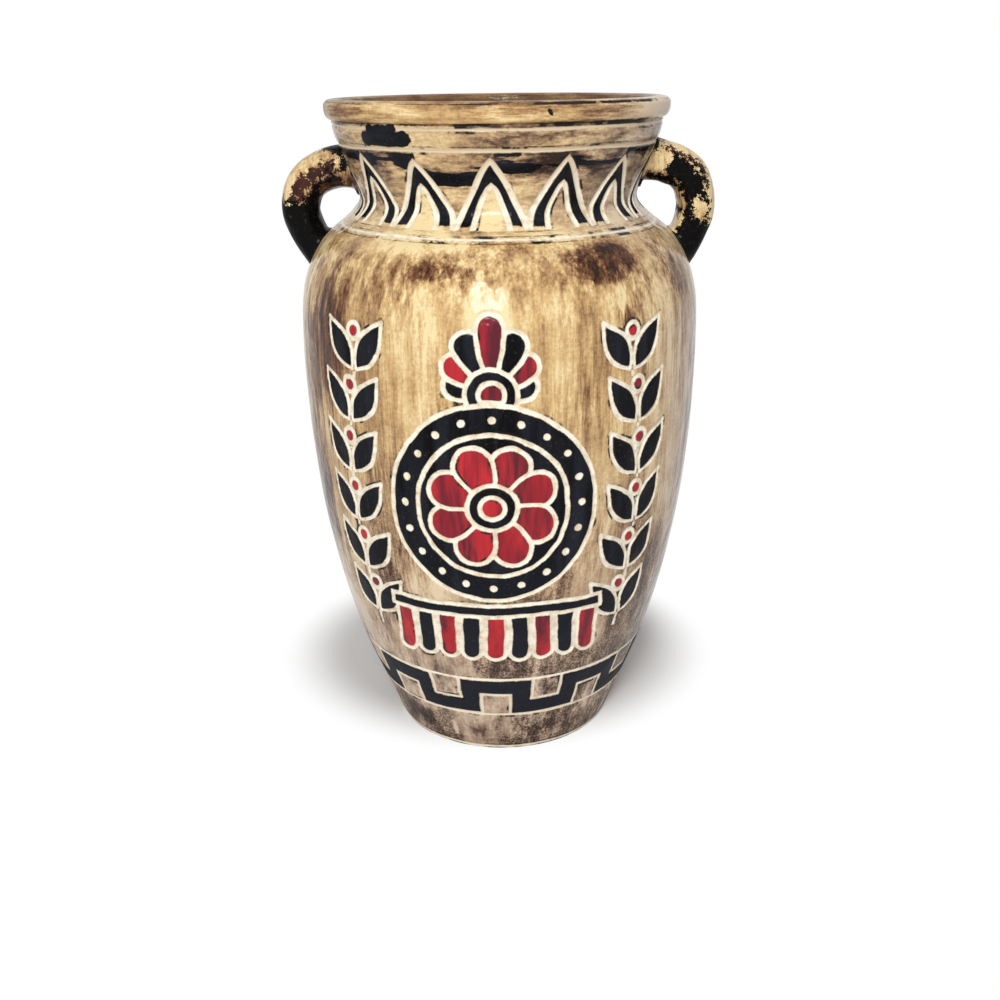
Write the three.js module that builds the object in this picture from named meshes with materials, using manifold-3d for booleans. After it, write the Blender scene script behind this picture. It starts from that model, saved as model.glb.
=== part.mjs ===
// A hand-carved pottery vase with two small lug handles, in the sections that a potter joins with slip.
// Millimetres, +Z up. The origin is the middle of the foot, on the surface that the vase stands on.
// The front faces -Y, and the handles reach out along X.
import * as THREE from 'three';
import { mergeVertices } from 'three/addons/utils/BufferGeometryUtils.js';
import Module from 'manifold-3d';

const wasm = await Module();
wasm.setup();

// The outer wall, from the foot to the lip: at each height a radius, and how fast the radius grows there.
const wallStations = [
  { height: 0, radius: 53.1, growth: 0.38 },
  { height: 60, radius: 75.3, growth: 0.285 },
  { height: 195, radius: 92, growth: 0 },
  { height: 238, radius: 81.5, growth: -0.705 },
  { height: 258, radius: 63.2, growth: 0.18 },
  { height: 290, radius: 74.2, growth: 0.13 },
];
const wallThickness = 7;
const turnedSides = 64;
const ringSpacing = 12;

// Seams between the sections. Each has a gap for the slip and a tongue that keeps the two sections in line.
const slipGap = 0.3;
const tongueHeight = 3;
const floorTop = 7;
const footSeam = 47.6;
const bellySeam = 150;
const shoulderSeam = 246.3;
const lipSeam = 291.2;

// Lines cut into the clay
const lineWidth = 1.8;
const lineDepth = 0.8;
const keyBandLowLine = 24.5;
const neckTopLine = 281.2;

// Floor slab: a plate that stands inside the foot, a softened edge and a hollow that leaves a ring to stand on
const plateHeight = 2.5;
const floorEdge = 1.5;
const hollowRadius = 38;
const hollowDepth = 1.5;

// Rolled lip: fuller below its widest line than above it, and a little squarer than an oval
const vaseHeight = 300;
const lipRadius = 72.6;
const lipHalfWidth = 4.7;
const lipRise = 3.2;
const lipDrop = 5.9;
const lipRoundness = 0.8;
const lipUnderside = -Math.PI / 3;
const lipSteps = 8;

// Handles: a round bar, pressed oval and bent from the neck to the shoulder, with its ends keyed into the wall.
// Both were bent by hand: the left one starts lower, and the right one is fuller over its bend and at its foot.
// Each point gives a distance from the vase's axis and a height.
const leftHandlePath = [
  [56, 270], [74, 270], [85.6, 264.2], [90.2, 254.2], [88.5, 244.2], [82.2, 232.2], [76, 224],
];
const rightHandlePath = [
  [56, 272], [71, 272], [85.2, 266.2], [90.2, 254.2], [88.9, 243.6], [82.8, 230.5], [76.6, 223.5],
];
const handleHalfThicknessTop = 10.3;
const handleHalfThicknessFoot = 8.2;
const handleHalfWidth = 11;
const handleSides = 16;
const handleRings = 22;
const keyDepth = 2.5;
const coreFloor = 205;
const coreTop = 289;

// Radius of the outer wall at a height: a smooth cubic between the two stations around it.
function outerRadius(height) {
  const last = wallStations.length - 2;
  const above = wallStations.findIndex((station) => station.height > height);
  const index = above < 0 ? last : Math.min(Math.max(above - 1, 0), last);
  const low = wallStations[index];
  const high = wallStations[index + 1];
  const span = high.height - low.height;
  const t = (height - low.height) / span;
  const fromLow = (1 + 2 * t) * (1 - t) ** 2 * low.radius + t * (1 - t) ** 2 * span * low.growth;
  const fromHigh = t ** 2 * (3 - 2 * t) * high.radius + t ** 2 * (t - 1) * span * high.growth;
  return fromLow + fromHigh;
}

function innerRadius(height) {
  return outerRadius(height) - wallThickness;
}

// Heights from low to high, both included, in equal steps.
function evenHeights(low, high) {
  const steps = Math.max(2, Math.round((high - low) / ringSpacing));
  return Array.from({ length: steps + 1 }, (_, i) => low + (i / steps) * (high - low));
}

// Outer side of a section, from low to high, with a V-shaped line cut at each given height.
function outerSide(low, high, lines = []) {
  const half = lineWidth / 2;
  const plain = evenHeights(low, high)
    .filter((height) => lines.every((line) => Math.abs(height - line) > half))
    .map((height) => ({ height, depth: 0 }));
  const cuts = lines.flatMap((line) => [
    { height: line - half, depth: 0 },
    { height: line, depth: lineDepth },
    { height: line + half, depth: 0 },
  ]);
  return [...plain, ...cuts]
    .filter((point) => point.height >= low && point.height <= high)
    .sort((a, b) => a.height - b.height)
    .map((point) => new THREE.Vector2(outerRadius(point.height) - point.depth, point.height));
}

// Inner side of a section, from high down to low.
function innerSide(high, low) {
  return evenHeights(low, high).reverse().map((height) => new THREE.Vector2(innerRadius(height), height));
}

// Radius of the upright face of a seam's tongue, inside the wall at the tongue's foot and at its top.
function tongueRadius(seam) {
  const top = seam + tongueHeight;
  const inside = Math.max(innerRadius(seam), innerRadius(top));
  const outside = Math.min(outerRadius(seam), outerRadius(top));
  return (inside + outside) / 2;
}

// Top edge of the section under a seam: an outer ledge, then the tongue along the inner side.
function tongueTop(seam) {
  return [
    new THREE.Vector2(tongueRadius(seam), seam),
    new THREE.Vector2(tongueRadius(seam), seam + tongueHeight),
  ];
}

// Bottom edge of the section over a seam: it sits over the tongue and on the ledge, a slip gap away.
function tongueSeat(seam) {
  return [
    new THREE.Vector2(tongueRadius(seam) + slipGap, seam + tongueHeight + slipGap),
    new THREE.Vector2(tongueRadius(seam) + slipGap, seam + slipGap),
  ];
}

// A turned solid: the closed outline carried round the vase's axis.
function turned(outline) {
  const closed = outline[0].x === 0 ? outline : [...outline, outline[0].clone()];
  return new THREE.LatheGeometry(closed, turnedSides).rotateX(Math.PI / 2);
}

// A section of wall between two seams.
function wallSection(lowSeam, highSeam, lines) {
  return turned([
    ...outerSide(lowSeam + slipGap, highSeam, lines),
    ...tongueTop(highSeam),
    ...innerSide(highSeam + tongueHeight, lowSeam + tongueHeight + slipGap),
    ...tongueSeat(lowSeam),
  ]);
}

function floorDisc() {
  const plateRadius = innerRadius(floorTop) - slipGap;
  return turned([
    new THREE.Vector2(0, hollowDepth),
    new THREE.Vector2(hollowRadius - hollowDepth, hollowDepth),
    new THREE.Vector2(hollowRadius, 0),
    new THREE.Vector2(outerRadius(0) - floorEdge, 0),
    new THREE.Vector2(outerRadius(floorEdge), floorEdge),
    new THREE.Vector2(outerRadius(floorTop), floorTop),
    new THREE.Vector2(plateRadius, floorTop),
    new THREE.Vector2(plateRadius, floorTop + plateHeight),
    new THREE.Vector2(0, floorTop + plateHeight),
  ]);
}

function footWall() {
  return turned([
    ...outerSide(floorTop + slipGap, footSeam, [keyBandLowLine, footSeam]),
    ...tongueTop(footSeam),
    ...innerSide(footSeam + tongueHeight, floorTop + slipGap),
  ]);
}

function bellyWall() {
  return wallSection(footSeam, bellySeam, [footSeam]);
}

function shoulderWall() {
  return wallSection(bellySeam, shoulderSeam, [shoulderSeam]);
}

function neckCollar() {
  return wallSection(shoulderSeam, lipSeam, [shoulderSeam, neckTopLine]);
}

// A power of a number that keeps the number's sign.
function signedPower(value, power) {
  return Math.sign(value) * Math.abs(value) ** power;
}

// The lip is part of a squarish roll, from its underside over the crest to its inner side.
function lipRing() {
  const roll = Array.from({ length: lipSteps + 1 }, (_, i) => {
    const angle = lipUnderside + (i / lipSteps) * (Math.PI - lipUnderside);
    const across = signedPower(Math.cos(angle), lipRoundness);
    const up = signedPower(Math.sin(angle), lipRoundness);
    const height = vaseHeight - lipRise + up * (up > 0 ? lipRise : lipDrop);
    return new THREE.Vector2(lipRadius + lipHalfWidth * across, height);
  });
  return turned([
    new THREE.Vector2(outerRadius(lipSeam) - lineDepth, lipSeam + slipGap),
    ...roll,
    new THREE.Vector2(innerRadius(lipSeam + tongueHeight), lipSeam + tongueHeight + slipGap),
    ...tongueSeat(lipSeam),
  ]);
}

// A handle's bar: a cylinder whose rings are moved onto the centre line and pressed to an oval.
function handleBar(handlePath, grow = 0) {
  const points = handlePath.map(([x, z]) => new THREE.Vector3(x, 0, z));
  const path = new THREE.CatmullRomCurve3(points, false, 'catmullrom');
  const bar = new THREE.CylinderGeometry(1, 1, 1, handleSides, handleRings);
  const place = bar.attributes.position;
  for (let i = 0; i < place.count; i += 1) {
    const along = 0.5 - place.getY(i);
    const centre = path.getPointAt(along);
    const tangent = path.getTangentAt(along);
    const thickness = THREE.MathUtils.lerp(handleHalfThicknessTop, handleHalfThicknessFoot, along) + grow;
    const out = place.getX(i) * thickness;
    const aside = -place.getZ(i) * (handleHalfWidth + grow);
    place.setXYZ(i, centre.x - tangent.z * out, aside, centre.z + tangent.x * out);
  }
  return bar;
}

// The solid inside of the vase's outer surface, less a depth, where the handles join it.
function wallCore(depth) {
  const side = evenHeights(coreFloor, coreTop)
    .map((height) => new THREE.Vector2(outerRadius(height) - depth, height));
  return turned([new THREE.Vector2(0, coreFloor), ...side, new THREE.Vector2(0, coreTop)]);
}

// A geometry as a solid that can be cut, with its shared corners joined.
function solidOf(geometry) {
  const bare = geometry.clone();
  bare.deleteAttribute('normal');
  bare.deleteAttribute('uv');
  const joined = mergeVertices(bare, 1e-4);
  return new wasm.Manifold(new wasm.Mesh({
    numProp: 3,
    vertProperties: new Float32Array(joined.attributes.position.array),
    triVerts: new Uint32Array(joined.index.array),
  }));
}

function geometryOf(solid) {
  const cut = solid.getMesh();
  const geometry = new THREE.BufferGeometry();
  geometry.setAttribute('position', new THREE.BufferAttribute(cut.vertProperties, 3));
  geometry.setIndex(new THREE.BufferAttribute(cut.triVerts, 1));
  geometry.computeVertexNormals();
  return geometry;
}

// A handle on the +X side, with its two ends cut to the wall, keyed a little way into it.
function handle(handlePath) {
  return geometryOf(solidOf(handleBar(handlePath)).subtract(solidOf(wallCore(keyDepth))));
}

// The socket for a handle, a slip gap wider and deeper than the keyed ends.
function handleSocket(handlePath) {
  return solidOf(handleBar(handlePath, slipGap)).subtract(solidOf(wallCore(keyDepth + slipGap)));
}

function handleSockets() {
  return [handleSocket(rightHandlePath), handleSocket(leftHandlePath).rotate([0, 0, 180])];
}

function withSockets(geometry) {
  const cut = handleSockets().reduce((wall, socket) => wall.subtract(socket), solidOf(geometry));
  return geometryOf(cut);
}

function piece(name, geometry, color, roughness) {
  const mesh = new THREE.Mesh(geometry, new THREE.MeshStandardMaterial({ color, roughness, metalness: 0 }));
  mesh.name = name;
  return mesh;
}

const body = new THREE.Group();
body.add(
  piece('floor_disc', floorDisc(), 0x8f7a60, 0.6),
  piece('foot_wall', footWall(), 0x6f6250, 0.4),
  piece('belly_wall', bellyWall(), 0xa88458, 0.3),
  piece('shoulder_wall', withSockets(shoulderWall()), 0xb8925f, 0.28),
  piece('neck_collar', withSockets(neckCollar()), 0xc9a673, 0.28),
  piece('lip_ring', lipRing(), 0xbf9c66, 0.3),
);

const rightSide = new THREE.Group();
rightSide.add(piece('right_handle', handle(rightHandlePath), 0x2a2320, 0.25));

const leftSide = new THREE.Group();
leftSide.rotation.z = Math.PI;
leftSide.add(piece('left_handle', handle(leftHandlePath), 0x2f2622, 0.25));

const vase = new THREE.Group();
vase.add(body, rightSide, leftSide);

export default vase;
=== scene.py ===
"""Looks of a hand-carved pottery vase, built round its packed sections.

Every section of the wall is one grid over the angle round the axis and the height. The potter's drawing is
worked out on the same grid as distances in millimetres. These cut the incised lines into the clay, and they
also tell the glaze where the cream, black and red go.
"""

import math

import bpy
import numpy as np
from mathutils import Euler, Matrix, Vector


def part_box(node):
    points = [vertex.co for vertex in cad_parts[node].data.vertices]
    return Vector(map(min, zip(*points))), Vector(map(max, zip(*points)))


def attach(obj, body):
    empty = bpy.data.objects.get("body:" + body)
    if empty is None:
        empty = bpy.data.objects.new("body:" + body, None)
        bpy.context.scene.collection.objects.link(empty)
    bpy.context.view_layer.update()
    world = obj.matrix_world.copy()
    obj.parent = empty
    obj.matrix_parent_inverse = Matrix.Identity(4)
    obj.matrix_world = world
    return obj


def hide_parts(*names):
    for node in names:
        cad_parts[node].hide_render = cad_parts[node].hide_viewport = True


bl_info = {
    "name": "Carved pottery vase",
    "version": (1, 0, 0),
    "blender": (4, 5, 0),
    "location": "View3D > Sidebar > Vase",
    "description": "Makes the carved and glazed surfaces of a two-handled pottery vase",
    "category": "Object",
}

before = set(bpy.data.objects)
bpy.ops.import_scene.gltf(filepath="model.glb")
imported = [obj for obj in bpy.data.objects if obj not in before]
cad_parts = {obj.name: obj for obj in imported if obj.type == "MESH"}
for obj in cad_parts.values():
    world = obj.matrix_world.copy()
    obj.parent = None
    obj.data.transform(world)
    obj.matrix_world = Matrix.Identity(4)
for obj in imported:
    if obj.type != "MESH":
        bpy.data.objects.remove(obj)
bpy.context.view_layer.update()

MM = 0.001

# A distance in millimetres that is past the reach of every line and edge
FAR = 99.0

# The outer wall, in millimetres: height, radius, and how fast the radius grows with the height
WALL_STATIONS = (
    (0, 53.1, 0.38),
    (60, 75.3, 0.285),
    (195, 92, 0),
    (238, 81.5, -0.705),
    (258, 63.2, 0.18),
    (290, 74.2, 0.13),
)
WALL_THICKNESS = 7
SLIP_GAP = 0.3
TONGUE_HEIGHT = 3
HOLLOW_RADIUS = 38
HOLLOW_DEPTH = 1.5
FLOOR_EDGE = 1.5
FLOOR_TOP = 7
LIP_RADIUS = 72.6
LIP_HALF_WIDTH = 4.7
LIP_RISE = 3.2
LIP_DROP = 5.9
LIP_ROUNDNESS = 0.8

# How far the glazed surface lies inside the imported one, and the least that unevenness may leave of it
SKIN_INSET = 0.3
SKIN_LIMIT = 0.05

# Centre lines of the handles, in the plane of the handles: distance from the vase's axis, height
HANDLE_PATHS = {
    "left": (
        (56, 270), (74, 270), (85.6, 264.2), (90.2, 254.2), (88.5, 244.2), (82.2, 232.2), (76, 224),
    ),
    "right": (
        (56, 272), (71, 272), (85.2, 266.2), (90.2, 254.2), (88.9, 243.6), (82.8, 230.5), (76.6, 223.5),
    ),
}

# A handle's section: its half thickness at the neck and at the shoulder, and what holds all along it
HANDLE_HALF_THICKNESS = (10.3, 7.7)
HANDLE_HALF_WIDTH = 11
HANDLE_ROUNDNESS = 0.8
HANDLE_INSET = 0.4
HANDLE_FILLET = 3

# Heights of the drawing's parts, from the foot up
KEY_BAND_LOW = 24.5
KEY_BAND_MIDDLE = 36
TONGUE_ROW_HEIGHTS = (60, 90)
LAUREL_HEIGHTS = (68, 218)
ROSETTE_HEIGHT = 138
PALMETTE_HEIGHT = 187
ARCH_FOOT = 249.5
INNER_ARCH_APEX = 267.2
OUTER_ARCH_APEX = 277.2
NECK_TOP_LINE = 281.2

# How far the drawing is turned to the left of the camera
BODY_TURN = math.radians(2.5)
KEY_TURN = math.radians(3.2)

# One radius for each zone, which unrolls the angle round it into millimetres
FLOOR_ARC = 53
FOOT_ARC = 66
BODY_ARC = 90
NECK_ARC = 68
UPPER_NECK_ARC = 71
HANDLE_ARC = 9

# Steps of the body's grid in millimetres of arc: across the ornament, and behind
PANEL_STEP = 0.66
BACK_STEP = 3.5


def srgb(red, green, blue):
    """A colour given as 0 to 255, as Blender's linear red, green, blue and alpha."""
    parts = np.array([red, green, blue]) / 255
    linear = np.where(parts <= 0.04045, parts / 12.92, ((parts + 0.055) / 1.055) ** 2.4)
    return (*(float(part) for part in linear), 1.0)


def seam_under(node):
    """Height in millimetres of the seam that a section stands on."""
    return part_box(node)[0].z / MM - SLIP_GAP


FOOT_SEAM = seam_under("belly_wall")
BELLY_SEAM = seam_under("shoulder_wall")
SHOULDER_SEAM = seam_under("neck_collar")
LIP_SEAM = seam_under("lip_ring")
VASE_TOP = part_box("lip_ring")[1].z / MM


# Numbers and curves

def smooth_step(value):
    """0 below 0, 1 above 1, and 3v^2 - 2v^3 between."""
    held = np.clip(value, 0, 1)
    return held * held * (3 - 2 * held)


def ripple(x, y, size, seed):
    """Unevenness from -1 to 1: the mean of a few sine waves of about one size, in seeded directions."""
    waves = 6
    rng = np.random.default_rng(seed)
    total = np.zeros(np.broadcast(x, y).shape)
    for _ in range(waves):
        turn, phase = rng.uniform(0, 2 * math.pi, 2)
        step = 2 * math.pi / (size * rng.uniform(0.7, 1.5))
        total += np.sin(step * (x * math.cos(turn) + y * math.sin(turn)) + phase)
    return total / waves


def signed_power(value, power):
    """A power of a number that keeps the number's sign."""
    return np.sign(value) * np.abs(value) ** power


def outer_radius(height):
    """Radius of the wall at a height: the cubic between two stations that keeps their radius and growth."""
    heights, radii, growths = (np.array(column, float) for column in zip(*WALL_STATIONS))
    i = np.clip(np.searchsorted(heights, height, side="right") - 1, 0, len(heights) - 2)
    span = heights[i + 1] - heights[i]
    t = (height - heights[i]) / span
    low = (1 + 2 * t) * (1 - t) ** 2 * radii[i] + t * (1 - t) ** 2 * span * growths[i]
    high = t ** 2 * (3 - 2 * t) * radii[i + 1] + t ** 2 * (t - 1) * span * growths[i + 1]
    return low + high


def inner_radius(height):
    """Radius of the wall's inner face at a height."""
    return outer_radius(height) - WALL_THICKNESS


def tongue_radius(seam):
    """Radius of the upright face of a seam's tongue, midway between the wall's two faces."""
    ends = np.array([seam, seam + TONGUE_HEIGHT])
    return (inner_radius(ends).max() + outer_radius(ends).min()) / 2


def spaced(low, high, step):
    """Numbers from low to high, both included, in equal steps of about the given size."""
    return np.linspace(low, high, max(2, round((high - low) / step) + 1))


def full_turn(step):
    """Angles once round the axis, in equal steps of about the given size."""
    return spaced(0, 2 * math.pi, step)[:-1]


# The drawing: each shape is a field of distances in millimetres, positive inside it

def from_root(x, y, root, turn):
    """Distances from a root along a direction and square to it. A turn of 0 points up."""
    dx, dy = x - root[0], y - root[1]
    along = dx * math.sin(turn) + dy * math.cos(turn)
    aside = dx * math.cos(turn) - dy * math.sin(turn)
    return along, aside


def leaf(x, y, root, turn, length, half_width):
    """A pointed leaf from its root along a direction: half_width * sin(pi * (t / length)^0.85) wide at t."""
    along, aside = from_root(x, y, root, turn)
    held = np.clip(along, 0, length)
    reach = half_width * np.sin(math.pi * (held / length) ** 0.85)
    return np.where(held == along, reach - np.abs(aside), -np.hypot(along - held, aside))


def petal(x, y, root, turn, length, half_width):
    """A round-ended petal: a wedge that opens from its root into a half circle at its end."""
    along, aside = from_root(x, y, root, turn)
    round_end = length - half_width
    wedge = half_width * (0.25 + 0.75 * smooth_step(along / round_end)) - np.abs(aside)
    cap = half_width - np.hypot(along - round_end, aside)
    return np.where(along > round_end, cap, np.minimum(wedge, along))


def disc(x, y, centre, radius):
    """Distance inside a circle: its radius less the distance from its centre."""
    return radius - np.hypot(x - centre[0], y - centre[1])


def box(x, y, low, high):
    """Distance inside an upright rectangle: the least of the distances to its four sides."""
    across = np.minimum(x - low[0], high[0] - x)
    return np.minimum(across, np.minimum(y - low[1], high[1] - y))


def round_box(x, y, low, high, corner):
    """Distance inside an upright rectangle with round corners, no more than the corners' radius."""
    to_side = np.minimum(x - low[0], high[0] - x)
    to_end = np.minimum(y - low[1], high[1] - y)
    return corner - np.hypot(np.maximum(corner - to_side, 0), np.maximum(corner - to_end, 0))


def tongue(x, y, centre, top, bottom, half_width):
    """A tongue: a strip with a flat top and a half round lower end."""
    strip = np.minimum(half_width - np.abs(x - centre), top - y)
    end = half_width - np.hypot(x - centre, y - bottom - half_width)
    return np.where(y > bottom + half_width, strip, end)


def pointed_arch(x, y, foot, apex, half_width, fullness):
    """A pointed arch: half_width * (1 - t)^fullness to each side at t of its height, square to its edge."""
    t = np.clip((y - foot) / (apex - foot), 0, 1)
    reach = half_width * (1 - t) ** fullness
    lean = fullness * half_width / (apex - foot)
    return (reach - np.abs(x) - np.maximum(y - apex, 0)) / np.hypot(1, lean)


class Drawing:
    """The incised and glazed drawing on a grid of points, as fields of distances in millimetres."""

    def __init__(self, shape):
        self.line = np.full(shape, -FAR)
        self.black = np.full(shape, -FAR)
        self.red = np.full(shape, -FAR)
        self.ink = np.full(shape, -FAR)
        self.stain = np.zeros(shape)

    def fill(self, colour, inside):
        """Glazes a shape with one colour, over whatever was there."""
        for name in ("black", "red"):
            field = getattr(self, name)
            mixed = np.maximum(field, inside) if name == colour else np.minimum(field, -inside)
            setattr(self, name, mixed)
        self.line = np.minimum(self.line, np.maximum(-inside, -FAR))

    def cut(self, distance, width):
        """Cuts a line where the distance to its middle is under half its width."""
        self.line = np.maximum(self.line, width / 2 - np.abs(distance))

    def shape(self, colour, inside, width):
        """A glazed shape with a line cut round its edge."""
        self.fill(colour, inside)
        self.cut(inside, width)

    def hairline(self, distance, width):
        """A thin dark line. Most are scratches that the dark wash has stayed in; the lines under the lip and
        along its top are painted shadow.
        """
        self.ink = np.maximum(self.ink, width / 2 - np.abs(distance))

    def smear(self, x, y, centre, size, strength):
        """A stain of dark wash, round or oval, that fades to its edge. One under 0 leaves the wash thin."""
        fade = np.hypot((x - centre[0]) / size[0], (y - centre[1]) / size[1])
        self.stain += strength * (1 - smooth_step(fade))


def rosette(art, x, y, centre, width):
    """A black disc with a ring of cream dots round a red rosette of eight petals."""
    dots, petals = 20, 8
    edge, dot_ring, inner_ring = 45, 38.8, 32.5
    dot, petal_length, petal_half_width = 1.7, 28.5, 8.4
    boss, eye = 10.5, 5.2
    art.shape("black", disc(x, y, centre, edge), width)
    for k in range(dots):
        turn = 2 * math.pi * k / dots
        spot = (centre[0] + dot_ring * math.sin(turn), centre[1] + dot_ring * math.cos(turn))
        art.line = np.maximum(art.line, disc(x, y, spot, dot))
    art.cut(disc(x, y, centre, inner_ring), width)
    for k in range(petals):
        turn = 2 * math.pi * (k + 0.5) / petals
        art.shape("red", petal(x, y, centre, turn, petal_length, petal_half_width), width)
    art.shape("black", disc(x, y, centre, boss), width)
    art.shape("red", disc(x, y, centre, eye), width)


def palmette(art, x, y, root, lengths, half_width, width):
    """A fan of petals, red and black in turn, on a half disc, with the longest petal in the middle."""
    spread = math.radians(25)
    each_side, base = 3, 11
    for k in sorted(range(-each_side, each_side + 1), key=lambda k: -abs(k)):
        colour = "red" if k % 2 == 0 else "black"
        length = lengths[0] + (lengths[1] - lengths[0]) * (1 - abs(k) / each_side)
        art.shape(colour, petal(x, y, root, k * spread, length, half_width), width)
    art.shape("black", np.minimum(disc(x, y, root, base), y - root[1] + 6), width)
    art.shape("red", np.minimum(disc(x, y, root, base / 2), y - root[1] + 3), width)


def laurel(art, x, y, side, width):
    """A laurel branch: leaves in pairs up a stem that bows outwards, and a red berry over each pair."""
    low, high = LAUREL_HEIGHTS
    from_middle, bulge = 58, 10
    pairs, first_pair, pitch = 6, 76, 23.5
    leaf_length, leaf_half_width, leaf_turn = 25, 5.8, 0.62
    berry, berry_rise = 3.4, 16

    def bow(level):
        return side * (from_middle + bulge * np.sin(math.pi * np.clip((level - low) / (high - low), 0, 1)))

    stem = np.where((y > low) & (y < high - 6), x - bow(y), FAR)
    for k in range(pairs):
        height = first_pair + pitch * k
        middle = float(bow(height))
        for hand in (-1, 1):
            root = (middle + hand * 1.4, height)
            art.shape("black", leaf(x, y, root, hand * leaf_turn, leaf_length, leaf_half_width), width)
        art.shape("red", disc(x, y, (middle, height + berry_rise), berry), width)
    clear = np.maximum(np.maximum(art.line + 0.4, art.black), art.red) < 0
    art.cut(np.where(clear, stem, FAR), width * 0.8)


def tongue_row(art, x, y, low, high, width):
    """A row of hanging tongues, red and black in turn, under a black bar."""
    each_side, pitch, half_width, bar = 4, 10.6, 4.5, 6
    for k in range(-each_side, each_side + 1):
        colour = "black" if k % 2 else "red"
        art.shape(colour, tongue(x, y, k * pitch, high - bar + 0.5, low, half_width), width)
    half_length = 4.6 * pitch
    art.shape("black", box(x, y, (-half_length, high - bar), (half_length, high)), width)


def front_panel(art, angle, height, width):
    """The ornament on the front of the body, drawn on the unrolled wall with the unevenness of a hand."""
    across = (angle + BODY_TURN) * outer_radius(height)
    x = across + 0.9 * ripple(across, height, 34, 11) + 0.3 * ripple(across, height, 9, 12)
    y = height + 0.9 * ripple(across, height, 34, 13) + 0.3 * ripple(across, height, 9, 14)
    laurel(art, x, y, -1, width)
    laurel(art, x, y, 1, width)
    palmette(art, x, y, (0, PALMETTE_HEIGHT), (20, 33), 6, width)
    tongue_row(art, x, y, *TONGUE_ROW_HEIGHTS, width)
    rosette(art, x, y, (0, ROSETTE_HEIGHT), width)


def key_band(art, angle, height, width, units):
    """A square key round the foot: a black run that steps up and down between two lines."""
    unit = 2 * math.pi / units
    place = angle + KEY_TURN
    number = np.round(place / unit)
    around = angle * FOOT_ARC
    radius = outer_radius(KEY_BAND_MIDDLE)
    x = (place - number * unit) * radius + 0.6 * np.sin(number * 7.3) + 0.4 * ripple(around, height, 14, 20)
    y = height + 0.5 * ripple(around, height, 26, 21)
    leg_middle = unit * radius / 4
    middle = (KEY_BAND_LOW + FOOT_SEAM) / 2
    line_gap, run = 1.1, 8
    low, high = KEY_BAND_LOW + line_gap, FOOT_SEAM - line_gap
    top_run = box(x, y, (-leg_middle - run / 2, high - run), (leg_middle + run / 2, high))
    legs = np.minimum(run / 2 - np.abs(np.abs(x) - leg_middle), (high - low) / 2 - np.abs(y - middle))
    bottom_run = np.minimum(np.abs(x) - leg_middle + run / 2, run / 2 - np.abs(y - low - run / 2))
    inside = np.maximum(np.maximum(top_run, legs), bottom_run)
    in_band = (height > KEY_BAND_LOW - 3) & (height < FOOT_SEAM + 3)
    art.fill("black", np.where(in_band, inside, -FAR))
    art.cut(np.where(in_band, inside + 0.45 * width, FAR), 0.72 * width)
    art.cut(height - KEY_BAND_LOW - 0.3 * ripple(around, height, 40, 22), 0.66 * width)


# Dark brush strokes in the gaps between the neck's arches, from the front round to the right.
# Each has the height of its middle and its half height, in millimetres.
GAP_STROKES = (
    (274.6, 2.7), (275.4, 1.6), (279, 2.4), (273, 3.5), (276, 2), (271, 4), (276.5, 3.6),
    (274, 2), (272, 3.4), (277, 2.6), (274.5, 3.2), (278, 2.5), (277.2, 4.4), (269.8, 4.3),
)


def neck_arches(art, angle, height, width, count):
    """Pointed double arches round the neck: black between two cream lines, and brush strokes in the gaps."""
    unit = 2 * math.pi / count
    place = angle + BODY_TURN
    number = np.round(place / unit)
    around = angle * NECK_ARC
    x = (place - number * unit) * outer_radius(height) + 0.5 * ripple(around, height, 16, 30)
    x = x + 0.05 * np.sin(number * 5.1) * (height - 262) + 0.5 * np.sin(number * 3.7)
    rise = 0.9 * np.sin(number * 2.3)
    y = height + 0.5 * ripple(around, height, 22, 31)
    outer = pointed_arch(x, y, ARCH_FOOT, OUTER_ARCH_APEX + rise, 14.8, 0.82)
    inner = pointed_arch(x, y, ARCH_FOOT, INNER_ARCH_APEX + rise, 7 + 0.7 * np.cos(number * 2.2), 0.68)
    drawing_foot, black_foot = 249.3, 250.8
    on_neck = (height > drawing_foot) & (height < NECK_TOP_LINE)
    band = np.minimum(np.minimum(outer - width / 2, -inner - width / 2), y - black_foot)
    art.fill("black", np.where(on_neck, band, -FAR))
    gap = np.floor(place / unit).astype(int) % len(GAP_STROKES)
    middle, half_height = (np.array(column)[gap] for column in zip(*GAP_STROKES))
    ragged = 3.2 * ripple(around / 3, height, 9, 32) + 1.6 * ripple(around / 4, height, 3, 33)
    stroke = 0.7 * half_height - np.abs(y - middle) + ragged
    stroke = np.minimum(np.minimum(stroke, -outer - width / 2), NECK_TOP_LINE - 1.3 - y)
    art.fill("black", np.where(on_neck, stroke, -FAR))
    between_arches = smooth_step((-outer - 0.5) / 2) * on_neck
    art.stain += between_arches * (0.18 * smooth_step((height - 256) / 18) + 0.04)
    art.stain += between_arches * 0.34 * smooth_step((stroke + 5) / 5)
    art.stain -= 0.13 * smooth_step(inner / 2) * on_neck * (1 + 0.8 * np.cos(number * 1.9 + 1))
    art.stain -= 0.2 * smooth_step((252 - height) / 2)
    art.cut(np.where(on_neck, outer, FAR), width)
    art.cut(np.where(on_neck, inner, FAR), width * 0.95)


def neck_spills(art, angle, height):
    """The black patches that ran over the neck's top line, and the dark scratches at its foot."""
    around = angle * UPPER_NECK_ARC
    ragged = 0.7 * ripple(around, height, 8, 41) + 0.6 * ripple(around, height, 3, 43)
    spill = round_box(around, height, (-62, 282.4), (-35, 288.6), 3) + ragged
    dash = round_box(around, height, (-58, 286), (-41, 291), 2) + 0.8 * ragged
    chip = round_box(around, height, (-1.5, 278.6), (9.5, 280.3), 0.8) + 0.3 * ragged
    for patch in (spill, dash, chip):
        art.fill("black", patch)
    art.hairline(height - 248.9 - 0.3 * ripple(around, height, 30, 44), 0.25)
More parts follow.
